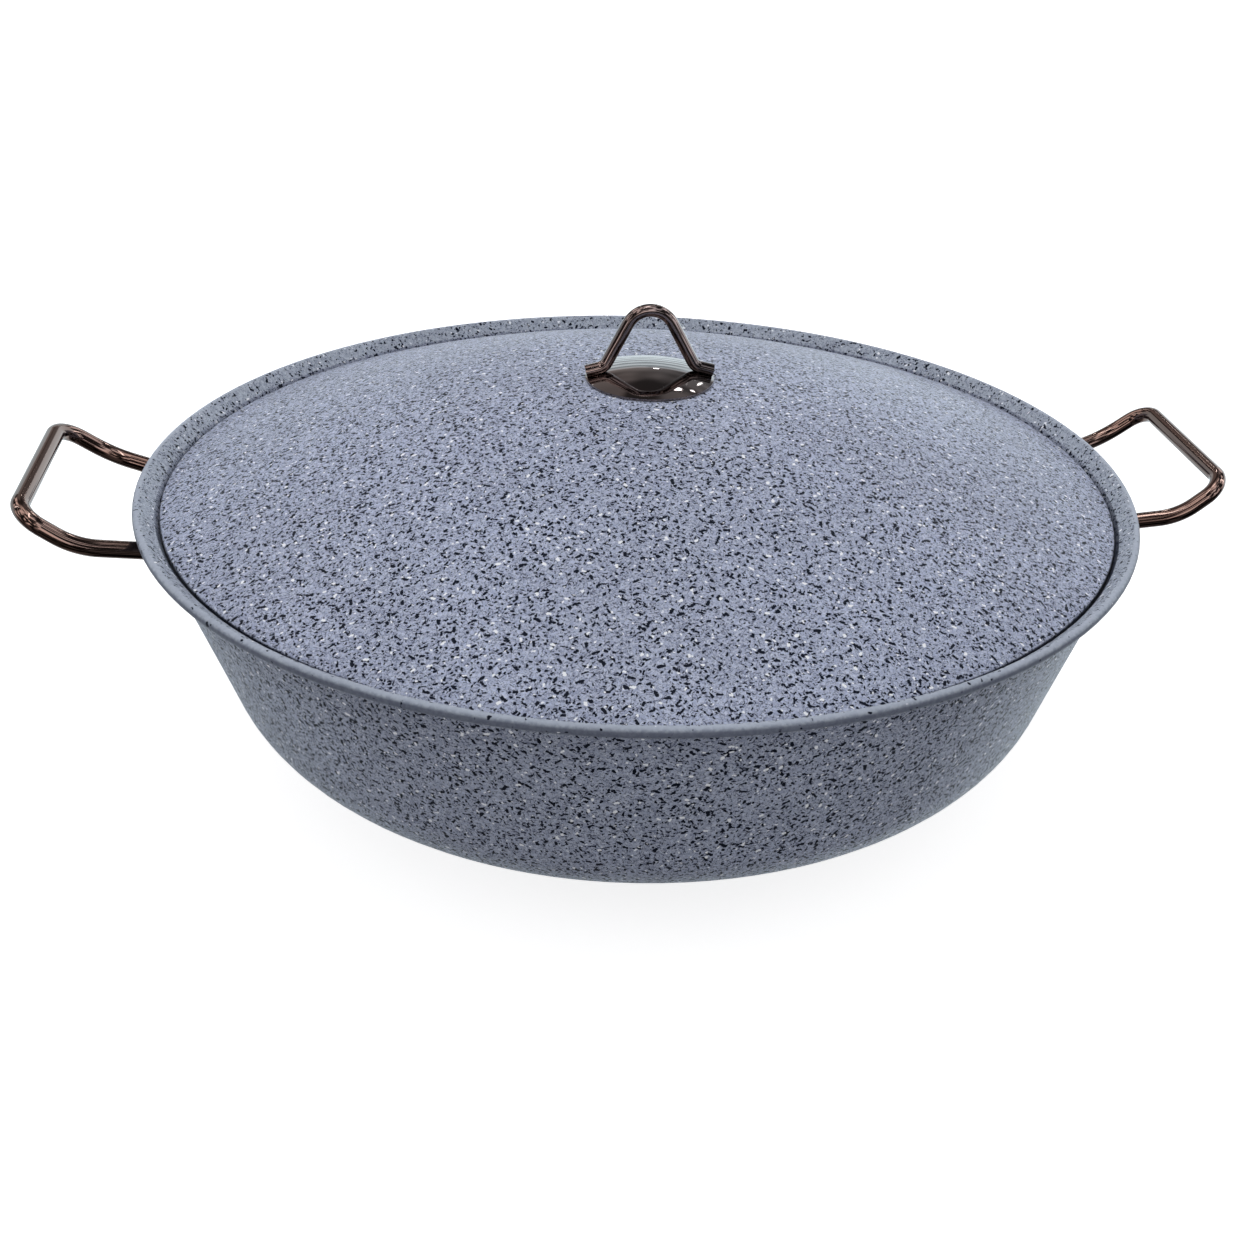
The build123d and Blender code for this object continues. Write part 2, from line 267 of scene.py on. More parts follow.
class Flecks(Effect):
    """Short bent chips of enamel that lie in the coat, each at its own angle."""

    name = "flecks"
    takes = {
        "Place": "Vector", "Normal": "Vector", "Cell": "Float", "Share": "Float",
        "Length": "Float", "Width": "Float", "Bend": "Float", "Seed": "Float",
    }
    gives = {"Mask": "Float", "Tone": "Float"}
    seed_step: tuple[float, float, float] = (17.3, 5.1, 9.7)
    shortest: float = 0.25  # shortest chip, as a share of the longest
    thinnest: float = 0.55
    edge: float = 0.15  # width of the soft edge, as a share of the chip's

    def wire(self, graph: Graph, given: Mapping[str, Socket]) -> Mapping[str, Socket]:
        """Draw one chip in each cell that holds one.

        Args:
            graph: The group's tree.
            given: Place and sizes in millimetres, the surface normal and a seed.

        Returns:
            Mask of the chips and a random tone for each.
        """
        normal = given["Normal"]
        spot = graph.times(given["Place"], graph.math("DIVIDE", 1.0, given["Cell"]))
        spot = graph.vector("ADD", spot, graph.times(self.seed_step, given["Seed"]))
        cell = graph.node("TexVoronoi", {"Vector": spot, "Scale": 1.0, "Randomness": 1.0})
        centre, tint = cell.outputs["Position"], cell.outputs["Color"]
        chance = graph.node("TexWhiteNoise", {"Vector": centre}, noise_dimensions="3D")
        draws = graph.node("SeparateColor", {0: chance.outputs["Color"]})
        way = graph.flat(graph.vector("SUBTRACT", tint, (0.5, 0.5, 0.5)), normal)
        along = graph.vector("NORMALIZE", way)
        across = graph.vector("CROSS_PRODUCT", normal, along)
        offset = graph.vector("SUBTRACT", spot, centre)
        run = graph.vector("DOT_PRODUCT", offset, along)
        side = graph.vector("DOT_PRODUCT", offset, across)
        size = graph.math("DIVIDE", given["Length"], graph.math("MULTIPLY", given["Cell"], 2.0))
        half = graph.math("MULTIPLY", size, graph.step(draws.outputs[0], 0.0, 1.0, self.shortest, 1.0))
        thick = graph.math("DIVIDE", given["Width"], graph.math("MULTIPLY", given["Cell"], 2.0))
        thick = graph.math("MULTIPLY", thick, graph.step(draws.outputs[1], 0.0, 1.0, self.thinnest, 1.0))
        swing = graph.math("MULTIPLY", given["Bend"], graph.math("SUBTRACT", draws.outputs[2], 0.5))
        bow = graph.math("MULTIPLY", graph.math("MULTIPLY", run, run), swing)
        side = graph.math("ADD", side, bow)
        past = graph.math("MAXIMUM", graph.math("SUBTRACT", graph.math("ABSOLUTE", run), half), 0.0)
        gap = graph.vector("LENGTH", graph.node("CombineXYZ", {0: past, 1: side}).outputs[0])
        edge = graph.math("MULTIPLY", thick, self.edge)
        shape = graph.step(gap, graph.math("SUBTRACT", thick, edge), thick, 1.0, 0.0)
        there = graph.math("LESS_THAN", chance.outputs["Value"], given["Share"])
        return {"Mask": graph.math("MULTIPLY", shape, there), "Tone": draws.outputs[2]}


class Veins(Effect):
    """Fine curls where two clouds of pigment meet."""

    name = "veins"
    takes = {"Place": "Vector", "Size": "Float", "Width": "Float"}
    gives = {"Dark": "Float", "Pale": "Float"}
    levels: dict[str, float] = {"Dark": 0.47, "Pale": 0.55}

    def wire(self, graph: Graph, given: Mapping[str, Socket]) -> Mapping[str, Socket]:
        """Draw thin lines along the levels of a cloud.

        Args:
            graph: The group's tree.
            given: Place, size of the curls and width of the lines.

        Returns:
            Masks of the dark and of the pale lines.
        """
        spot = graph.times(given["Place"], graph.math("DIVIDE", 1.0, given["Size"]))
        cloud = graph.node("TexNoise", {"Vector": spot, "Scale": 1.0, "Detail": 1.0}).outputs[0]
        masks = {}
        for name, level in self.levels.items():
            off = graph.math("ABSOLUTE", graph.math("SUBTRACT", cloud, level))
            masks[name] = graph.step(off, 0.0, given["Width"], 1.0, 0.0)
        return masks


class HandPolish(Effect):
    """Ripple and haze of metal that was bent, ground and buffed before plating."""

    name = "hand_polish"
    takes = {"Place": "Vector", "Ripple": "Float", "Haze": "Float"}
    gives = {"Height": "Float", "Dull": "Float", "Tint": "Float"}
    dents: float = 4.0  # dents to one wave
    dent_height: float = 0.12
    haze_size: float = 9.0
    haze_band: Span = (0.35, 0.75)
    tint_size: float = 26.0

    def wire(self, graph: Graph, given: Mapping[str, Socket]) -> Mapping[str, Socket]:
        """Layer a slow wave, small dents and cloudy haze.

        Args:
            graph: The group's tree.
            given: Place in millimetres, size of the waves and strength of the haze.

        Returns:
            Height of the surface, dullness and tint of the plating.
        """
        spot = graph.times(given["Place"], graph.math("DIVIDE", 1.0, given["Ripple"]))
        wave = graph.node("TexNoise", {"Vector": spot, "Scale": 1.0, "Detail": 1.0}).outputs[0]
        dent = graph.node("TexNoise", {"Vector": spot, "Scale": self.dents, "Detail": 0.0}).outputs[0]
        height = graph.math("MULTIPLY_ADD", dent, self.dent_height, wave)
        cloud = graph.noise(given["Place"], self.haze_size, 3.0)
        dull = graph.math("MULTIPLY", graph.step(cloud, *self.haze_band), given["Haze"])
        return {"Height": height, "Dull": dull, "Tint": graph.noise(given["Place"], self.tint_size)}


class Finish:
    """Material that a class of pieces wears."""

    name: str

    def shade(self, graph: Graph, place: Socket, normal: Socket) -> Mapping[str, Feed]:
        """Work out what the surface shader gets.

        Args:
            graph: The material's tree.
            place: Position on the object in millimetres.
            normal: Surface normal.

        Returns:
            Values of the shader's inputs by name.
        """
        raise NotImplementedError

    def material(self) -> bpy.types.Material:
        """Return the material, built at its first use."""
        if self.name in bpy.data.materials:
            return bpy.data.materials[self.name]
        material = bpy.data.materials.new(self.name)
        material.use_nodes = True
        graph = Graph(material.node_tree)
        shader = material.node_tree.nodes["Principled BSDF"]
        where = graph.node("TexCoord", {})
        place = graph.times(where.outputs["Object"], 1 / MM)
        for name, value in self.shade(graph, place, where.outputs["Normal"]).items():
            graph.feed(shader.inputs[name], value)
        return material

    def dress(self, *pieces: bpy.types.Object) -> None:
        """Put the material on pieces in place of what they wear.

        Args:
            *pieces: Mesh objects.
        """
        for piece in pieces:
            piece.data.materials.clear()
            piece.data.materials.append(self.material())
            log.info("%s wears %s", piece.name, self.name)


@dataclass(frozen=True)
class Chip:
    """One size of fleck. Lengths are in millimetres."""

    cell: float
    share: float  # part of the cells that hold one
    length: float
    width: float
    bend: float
    seed: float
    strength: float
    colour: Rgb


@dataclass(frozen=True)
class Spot:
    """A point of the coat, in millimetres."""

    place: Socket
    normal: Socket
    warped: Socket  # place, stirred a little so that edges come out uneven
    reach: Socket  # distance from the pan's axis
    height: Socket


@dataclass(frozen=True)
class GraniteCoat(Finish):
    """Satin blue-grey coat with black and white flecks. Sizes are in millimetres."""

    name: str = "granite_coat_lid"
    ground: Rgb = (0.350, 0.393, 0.548)
    cloud: Rgb = (0.495, 0.550, 0.722)
    black: Rgb = (0.001, 0.004, 0.014)
    slate: Rgb = (0.07, 0.08, 0.125)
    white: Rgb = (0.90, 0.92, 0.97)
    stir: float = 1.5
    mottle_size: float = 1.8
    mottle_band: Span = (0.36, 0.66)
    drift_size: float = 70.0
    drift_tones: Span = (0.94, 1.05)
    vein_size: float = 1.4
    vein_width: float = 0.065
    dark_veins: float = 0.72
    pale_veins: float = 0.30
    shadow_reach: tuple[float, float, float, float] = (228.2, 228.9, 300.0, 301.0)  # painted shadow in the gap at the lid's edge, between these radii
    shadow_floor: float = 0.0  # and above this height
    shadow_strength: float = 0.93
    shadow_depths: Span = (-120.0, 30.0)  # the painted shadow fades towards the back between these depths
    shadow_back: float = 0.35
    fleck_height: float = 0.35
    peel_size: float = 1.6
    peel_depth: float = 0.00008
    gloss_size: float = 3.0
    roughness: Span = (0.40, 0.50)
    sheen: float = 0.05

    def chips(self) -> tuple[Chip, ...]:
        """Flecks from the bottom layer to the top one."""
        return (
            Chip(2.0, 0.68, 1.9, 0.60, 1.6, 1.0, 0.95, self.slate),
            Chip(2.7, 0.62, 1.8, 1.10, 1.0, 2.0, 1.0, self.black),
            Chip(5.0, 0.57, 3.5, 1.62, 0.8, 3.0, 1.0, self.black),
            Chip(4.0, 0.18, 1.3, 1.05, 0.6, 4.0, 0.95, self.white),
            Chip(8.0, 0.30, 2.9, 1.50, 0.5, 5.0, 1.0, self.white),
        )

    def spot(self, graph: Graph, place: Socket, normal: Socket) -> Spot:
        """Measure where a point lies.

        Args:
            graph: The material's tree.
            place: Position on the object in millimetres.
            normal: Surface normal.

        Returns:
            The point.
        """
        swirl = graph.node("TexNoise", {"Vector": place, "Scale": 1.1, "Detail": 3.0}).outputs["Color"]
        swirl = graph.times(graph.vector("SUBTRACT", swirl, (0.5, 0.5, 0.5)), self.stir)
        warped = graph.vector("ADD", place, swirl)
        reach = graph.vector("LENGTH", graph.vector("MULTIPLY", place, (1.0, 1.0, 0.0)))
        return Spot(place, normal, warped, reach, graph.part(place, 2))

    def rim(self, graph: Graph, spot: Spot, colour: Socket) -> tuple[Socket, Feed, Feed]:
        """Treat the rim. The lid has none.

        Args:
            graph: The material's tree.
            spot: The point.
            colour: Colour of the ground.

        Returns:
            The colour, the share of flecks that stays and a mask of what faces the pan's middle.
        """
        return colour, 1.0, 1.0

    def scatter(self, graph: Graph, spot: Spot, keep: Feed, colour: Socket) -> tuple[Socket, Socket]:
        """Lay veins and flecks on the ground.

        Args:
            graph: The material's tree.
            spot: The point.
            keep: Share of veins and flecks that stays.
            colour: Colour under them.

        Returns:
            The colour and a mask of the flecks.
        """
        veins = Veins().use(graph, Place=spot.warped, Size=self.vein_size, Width=self.vein_width)
        for name, strength, tone in (
            ("Dark", self.dark_veins, self.slate),
            ("Pale", self.pale_veins, self.white),
        ):
            strength = graph.math("MULTIPLY", keep, strength)
            colour = graph.mix(graph.math("MULTIPLY", veins.outputs[name], strength), colour, tone)
        masks = []
        for chip in self.chips():
            flecks = Flecks().use(
                graph, Place=spot.warped, Normal=spot.normal, Cell=chip.cell, Length=chip.length,
                Width=chip.width, Share=graph.math("MULTIPLY", keep, chip.share), Bend=chip.bend,
                Seed=chip.seed,
            )
            masks.append(graph.math("MULTIPLY", flecks.outputs["Mask"], chip.strength))
            colour = graph.mix(masks[-1], colour, chip.colour)
        cover = masks[0]
        for mask in masks[1:]:
            cover = graph.math("MAXIMUM", cover, mask)
        return colour, cover

    def painted_gap_shadow(self, graph: Graph, spot: Spot, inside: Feed) -> Socket:
        """Strength of the painted shadow in the gap where the lid meets the rim.

        Args:
            graph: The material's tree.
            spot: The point.
            inside: Mask of what faces the pan's middle.

        Returns:
            The strength.
        """
        start, full, fade, end = self.shadow_reach
        painted_gap_shadow = graph.math(
            "MULTIPLY", graph.step(spot.reach, start, full), graph.step(spot.reach, fade, end, 1.0, 0.0)
        )
        above = graph.step(spot.height, self.shadow_floor, self.shadow_floor + 1.0)
        back = graph.step(graph.part(spot.place, 1), *self.shadow_depths, 1.0, self.shadow_back)
        for share in (above, inside, back, self.shadow_strength):
            painted_gap_shadow = graph.math("MULTIPLY", painted_gap_shadow, share)
        return painted_gap_shadow

    def shade(self, graph: Graph, place: Socket, normal: Socket) -> Mapping[str, Feed]:
        """Layer clouds, veins, flecks and the painted shadow of the gap at the lid's edge.

        Args:
            graph: The material's tree.
            place: Position on the object in millimetres.
            normal: Surface normal.

        Returns:
            Values of the shader's inputs by name.
        """
        spot = self.spot(graph, place, normal)
        mottle = graph.step(graph.noise(spot.warped, self.mottle_size), *self.mottle_band)
        colour = graph.mix(mottle, self.ground, self.cloud)
        colour, keep, inside = self.rim(graph, spot, colour)
        drift = graph.step(graph.noise(place, self.drift_size), 0.3, 0.7, *self.drift_tones)
        colour = graph.times(colour, drift)
        colour, flecks = self.scatter(graph, spot, keep, colour)
        # Paint the gap's shadow in black, stronger at the front than at the back.
        colour = graph.mix(self.painted_gap_shadow(graph, spot, inside), colour, self.black)
        peel = graph.noise(place, self.peel_size)
        relief = graph.math("MULTIPLY_ADD", flecks, self.fleck_height, peel)
        bump = graph.node("Bump", {"Strength": 0.25, "Distance": self.peel_depth, "Height": relief})
        gloss = graph.noise(place, self.gloss_size, 3.0)
        return {
            "Base Color": colour,
            "Roughness": graph.step(gloss, 0.25, 0.75, *self.roughness),
            "Normal": bump.outputs[0],
            "Specular IOR Level": 0.10,
            "Coat Weight": 0.05,
            "Coat Roughness": 0.22,
            "Coat IOR": 1.5,
            "Sheen Weight": self.sheen,
            "Sheen Roughness": 0.4,
        }


@dataclass(frozen=True)
class RimmedCoat(GraniteCoat):
    """The same coat on the pan: few flecks on the rolled rim, a painted highlight on the roll's top,
    painted shade below it.
    """

    name: str = "granite_coat_pan"
    ground: Rgb = (0.330, 0.370, 0.497)
    cloud: Rgb = (0.465, 0.515, 0.650)
    # Radii of the painted shadow in the gap between the flange and the lid's edge.
    shadow_reach: tuple[float, float, float, float] = (226.0, 227.0, 230.6, 231.1)
    shadow_floor: float = 131.0
    sheen: float = 0.02
    flange_tint: Rgb = (0.965, 0.97, 0.90)
    flange_reach: Span = (230.6, 231.2)  # radii between which the wall passes into the flange
    flange_flecks: float = 0.70
    # Colour of the painted highlight on the roll's upward face.
    roll_highlight_tone: Rgb = (0.43, 0.475, 0.575)
    roll_reach: Span = (236.2, 237.8)  # radii between which the flange passes into the roll
    roll_flecks: float = 0.08
    # Painted highlight where the roll's normal tilts up past this span, and its strength.
    roll_highlight_tilt: Span = (0.68, 0.92)
    roll_highlight: float = 0.7
    # Painted shade on the roll's lower half, and its strength.
    roll_shade_tilt: Span = (0.25, 0.80)
    roll_shade: float = 0.75
    # Painted shade on the downward-facing wall under the rim, between these heights.
    under_rim_shade_tilt: Span = (-0.2, 0.1)
    under_rim_shade_heights: Span = (112.0, 134.0)
    under_rim_shade: float = 0.25

    def rim(self, graph: Graph, spot: Spot, colour: Socket) -> tuple[Socket, Feed, Feed]:
        """Tint the flange, thin the roll's flecks, paint a highlight on its top and paint shade on its
        lower half and the wall below.

        Args:
            graph: The material's tree.
            spot: The point.
            colour: Colour of the ground.

        Returns:
            The colour, the share of flecks that stays and a mask of what faces the pan's middle.
        """
        upward = graph.part(spot.normal, 2)
        roll = graph.step(spot.reach, *self.roll_reach)
        flange = graph.step(spot.reach, *self.flange_reach)
        colour = graph.vector("MULTIPLY", colour, graph.mix(flange, (1.0, 1.0, 1.0), self.flange_tint))
        keep = graph.math(
            "MULTIPLY",
            graph.math("MULTIPLY_ADD", flange, self.flange_flecks - 1.0, 1.0),
            graph.math("MULTIPLY_ADD", roll, self.roll_flecks - 1.0, 1.0),
        )
        outward = graph.vector("DOT_PRODUCT", graph.vector("NORMALIZE", spot.place), spot.normal)
        inside = graph.step(outward, -0.2, 0.2, 1.0, 0.0)
        # Painted highlight on the roll's top.
        painted_highlight = graph.math("MULTIPLY", roll, graph.step(upward, *self.roll_highlight_tilt, 0.0, self.roll_highlight))
        # Painted shade on the roll's lower half.
        painted_roll_shade = graph.math("MULTIPLY", roll, graph.step(upward, *self.roll_shade_tilt, self.roll_shade, 0.0))
        # Painted shade on the wall under the rim.
        painted_under_rim_shade = graph.math(
            "MULTIPLY",
            graph.step(upward, *self.under_rim_shade_tilt, 1.0, 0.0),
            graph.step(spot.height, *self.under_rim_shade_heights, 0.0, self.under_rim_shade),
        )
        colour = graph.mix(painted_highlight, colour, self.roll_highlight_tone)
        colour = graph.mix(graph.math("MAXIMUM", painted_roll_shade, painted_under_rim_shade), colour, self.slate)
        return colour, keep, inside


@dataclass(frozen=True)
class BronzePlate(Finish):
    """Dark polished bronze-coloured plating over ground steel bar."""

    name: str = "bronze_plate"
    deep: Rgb = (0.102, 0.085, 0.083)
    copper: Rgb = (0.235, 0.182, 0.164)
    roughness: float = 0.06
    haze: float = 0.07
    ripple: float = 14.0
    depth: float = 0.00035

    def shade(self, graph: Graph, place: Socket, normal: Socket) -> Mapping[str, Feed]:
        """Tint, haze and ripple the plating.

        Args:
            graph: The material's tree.
            place: Position on the object in millimetres.
            normal: Surface normal.

        Returns:
            Values of the shader's inputs by name.
        """
        polish = HandPolish().use(graph, Place=place, Ripple=self.ripple, Haze=self.haze)
        tint = graph.step(polish.outputs["Tint"], 0.3, 0.7)
        bump = graph.node(
            "Bump", {"Strength": 1.0, "Distance": self.depth, "Height": polish.outputs["Height"]}
        )
        return {
            "Base Color": graph.mix(tint, self.deep, self.copper),
            "Metallic": 1.0,
            "Roughness": graph.math("ADD", polish.outputs["Dull"], self.roughness),
            "Normal": bump.outputs[0],
            "Coat Weight": 0.7,
            "Coat Roughness": 0.03,
        }


@dataclass(frozen=True)
class BareSteel(Finish):
    """Stainless steel of the small fasteners."""

    name: str = "bare_steel"
    colour: Rgb = (0.58, 0.57, 0.55)
    shadow: float = 0.86  # tone of the darker clouds
    roughness: float = 0.24
    haze: float = 0.2
    ripple: float = 3.0

    def shade(self, graph: Graph, place: Socket, normal: Socket) -> Mapping[str, Feed]:
        """Haze the steel and give it a faint ripple.

        Args:
            graph: The material's tree.
            place: Position on the object in millimetres.
            normal: Surface normal.

        Returns:
            Values of the shader's inputs by name.
        """
        polish = HandPolish().use(graph, Place=place, Ripple=self.ripple, Haze=self.haze)
        bump = graph.node(
            "Bump", {"Strength": 0.3, "Distance": 0.0001, "Height": polish.outputs["Height"]}
        )
        tone = graph.step(polish.outputs["Tint"], 0.3, 0.7)
        dark = tuple(self.shadow * part for part in self.colour)
        return {
            "Base Color": graph.mix(tone, self.colour, dark),
            "Metallic": 1.0,
            "Roughness": graph.math("ADD", polish.outputs["Dull"], self.roughness),
            "Normal": bump.outputs[0],
        }


@dataclass(frozen=True)
class SealRubber(Finish):
    """Matt black rubber of the seal."""

    name: str = "seal_rubber"
    clean: Rgb = (0.02, 0.02, 0.02)
    dusty: Rgb = (0.06, 0.058, 0.055)
    grain: float = 0.8
    roughness: float = 0.72

    def shade(self, graph: Graph, place: Socket, normal: Socket) -> Mapping[str, Feed]:
        """Give the rubber a dusty grain.

        Args:
            graph: The material's tree.
            place: Position on the object in millimetres.
            normal: Surface normal.

        Returns:
            Values of the shader's inputs by name.
        """
        dust = graph.noise(place, self.grain, 3.0)
        bump = graph.node("Bump", {"Strength": 0.2, "Distance": 0.0001, "Height": dust})
        return {
            "Base Color": graph.mix(graph.step(dust, 0.4, 0.8), self.clean, self.dusty),
            "Roughness": self.roughness,
            "Normal": bump.outputs[0],
        }


def piece(name: str, mesh: bmesh.types.BMesh, body: Body, slot: Slot, finish: Finish) -> bpy.types.Object:
    """Turn a finished bmesh into a dressed piece that rides on a body.

    Args:
        name: Name of the piece.
        mesh: The shape, in metres in the frame. It is freed.
        body: Body that it moves with.
        slot: Material slot of the record. Not used.
        finish: What it wears.

    Returns:
        The new object.
    """
    bmesh.ops.remove_doubles(mesh, verts=mesh.verts, dist=MERGE)
    bmesh.ops.recalc_face_normals(mesh, faces=mesh.faces)
    for face in mesh.faces:
        face.smooth = True
    data = bpy.data.meshes.new(name)
    mesh.to_mesh(data)
    mesh.free()
    made = bpy.data.objects.new(name, data)
    bpy.context.scene.collection.objects.link(made)
    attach(made, body.value)
    finish.dress(made)
    return made


@dataclass
class PanBody:
    """Bowl with its flared wall, flange and rolled rim."""

    coat: RimmedCoat = field(default_factory=RimmedCoat)

    def build(self) -> None:
        """Coat the bowl."""
        self.coat.dress(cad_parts["pan_body"])


@dataclass
class SideHandles:
    """Two bent bars, welded to pads that are riveted to the wall. Sizes in millimetres."""

    root_reach: float = 228.66  # outer face of the wall, at the bars' height
    root_half_span: float = 42.0
    root_height: float = 126.5
    wall_flare: float = 16.8
    elbow: tuple[float, float, float] = (259.7, 51.9, 134.7)
    pad_thickness: float = 2.5
    bar_radius: float = 4.0
    bead_radius: float = 1.5
    bead_offset: float = 0.35  # of the bead's middle from the bar's face, in bead radii
    bead_sides: int = 12
    bead_steps: int = 72
    ripples: int = 14
    ripple_height: float = 0.10
    plate: BronzePlate = field(default_factory=BronzePlate)
    steel: BareSteel = field(default_factory=BareSteel)

    def root(self) -> tuple[Vector, Vector, Vector]:
        """Where the right-hand back bar end meets its pad.

        Returns:
            The point, the pad's outward normal and the bar's direction, in millimetres.
        """
        azimuth, flare = asin(self.root_half_span / self.root_reach), radians(self.wall_flare)
        normal = Vector((cos(azimuth) * cos(flare), sin(azimuth) * cos(flare), -sin(flare)))
        start = Vector((self.root_reach * cos(azimuth), self.root_half_span, self.root_height))
        way = (Vector(self.elbow) - start).normalized()
        return start + way * (self.pad_thickness / way.dot(normal)), normal, way

    def weld(self, name: str, turn: float, mirrored: bool) -> bpy.types.Object:
        """Rippled bead of weld round one bar end.

        Args:
            name: Name of the piece.
            turn: Turn about the pan's axis, in degrees.
            mirrored: True for an end that mirrors the right handle's back end.

        Returns:
            The bead.
        """
        point, normal, way = self.root()
        lean = (way - normal * way.dot(normal)).normalized()
        mesh = bmesh.new()
        ring = bmesh.ops.create_circle(mesh, segments=self.bead_sides, radius=self.bead_radius)["verts"]
        offset = Matrix.Translation((self.bar_radius + self.bead_offset * self.bead_radius, 0, 0))
        upright = offset @ Matrix.Rotation(pi / 2, 4, "X")
        bmesh.ops.transform(mesh, matrix=upright, verts=ring)
        bmesh.ops.spin(
            mesh, geom=mesh.edges[:] + mesh.verts[:], axis=(0, 0, 1), cent=(0, 0, 0), angle=2 * pi,
            steps=self.bead_steps, use_merge=True,
        )
        for vert in mesh.verts:
            around = Vector((vert.co.x, vert.co.y)).angle_signed(Vector((1, 0)))
            ripple = self.ripple_height * sin(self.ripples * around)
            vert.co *= 1 + ripple * vert.co.z / self.bead_radius
        stretch = Matrix.Scale(1 / way.dot(normal), 4, (1, 0, 0))
        seat = Matrix((lean, normal.cross(lean), normal)).transposed().to_4x4()
        place = Matrix.Scale(MM, 4) @ Matrix.Rotation(radians(turn), 4, "Z")
        if mirrored:
            place = place @ Matrix.Scale(-1, 4, (0, 1, 0))
        matrix = place @ Matrix.Translation(point) @ seat @ stretch
        bmesh.ops.transform(mesh, matrix=matrix, verts=mesh.verts)
        return piece(name, mesh, Body.PAN, Slot.BRONZE, self.plate)

    def build(self) -> None:
        """Plate the bars and pads, bare the rivets and weld the bar ends."""
        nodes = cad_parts
        for side, turn in (("right", 0.0), ("left", 180.0)):
            self.plate.dress(nodes[f"{side}_handle_bar"])
            for end in ("front", "back"):
                self.plate.dress(nodes[f"{side}_handle_{end}_pad"])
                mirrored = (end == "front") == (side == "right")
                self.weld(f"{side}_handle_{end}_weld", turn, mirrored)
            self.steel.dress(nodes[f"{side}_handle_rivets"])


@dataclass
class Lid:
    """Domed lid with its bow, disc and fastening."""

    coat: GraniteCoat = field(default_factory=GraniteCoat)
    plate: BronzePlate = field(
        default_factory=lambda: BronzePlate(
            name="bronze_bow", deep=(0.076, 0.066, 0.067), copper=(0.20, 0.156, 0.147), roughness=0.05
        )
    )
    disc_plate: BronzePlate = field(
        default_factory=lambda: BronzePlate(
            name="bronze_disc", deep=(0.125, 0.106, 0.106), copper=(0.19, 0.158, 0.152),
            roughness=0.03, haze=0.03, ripple=22.0, depth=0.00022,
        )
    )
    steel: BareSteel = field(default_factory=BareSteel)
    rubber: SealRubber = field(default_factory=SealRubber)

    def build(self) -> None:
        """Coat the shell and dress what is fixed to it."""
        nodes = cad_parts
        self.coat.dress(nodes["lid_shell"])
        self.plate.dress(nodes["lid_bow"])
        self.disc_plate.dress(nodes["lid_disc"])
        self.steel.dress(nodes["lid_boss"], nodes["lid_washer"], nodes["lid_screw"])
        self.rubber.dress(nodes["lid_seal"])


class Reach(Enum):
    """What a light is seen by: a soft light spares the polished metal, a glint lights nothing else."""

    SOFT = (True, False)
    GLINT = (False, True)


@dataclass(frozen=True)
class Softbox:
    """Area light: oval if it only glints, else rectangular."""

    name: str
    place: tuple[float, float, float]
    size: Span
    power: float
    reach: Reach = Reach.SOFT
    aim: tuple[float, float, float] = (0.0, 0.0, 0.15)
    colour: Rgb = (1.0, 1.0, 1.0)

    def build(self) -> None:
        """Hang the light."""
        light = bpy.data.lights.new(self.name, "AREA")
        light.shape = "ELLIPSE" if self.reach is Reach.GLINT else "RECTANGLE"
        light.size, light.size_y = self.size
        light.energy, light.color = self.power, self.colour
        lamp = bpy.data.objects.new(self.name, light)
        lamp.location = self.place
        away = Vector(self.place) - Vector(self.aim)
        lamp.rotation_euler = away.to_track_quat("Z", "Y").to_euler()
        lamp.visible_diffuse, lamp.visible_glossy = self.reach.value
        bpy.context.scene.collection.objects.link(lamp)


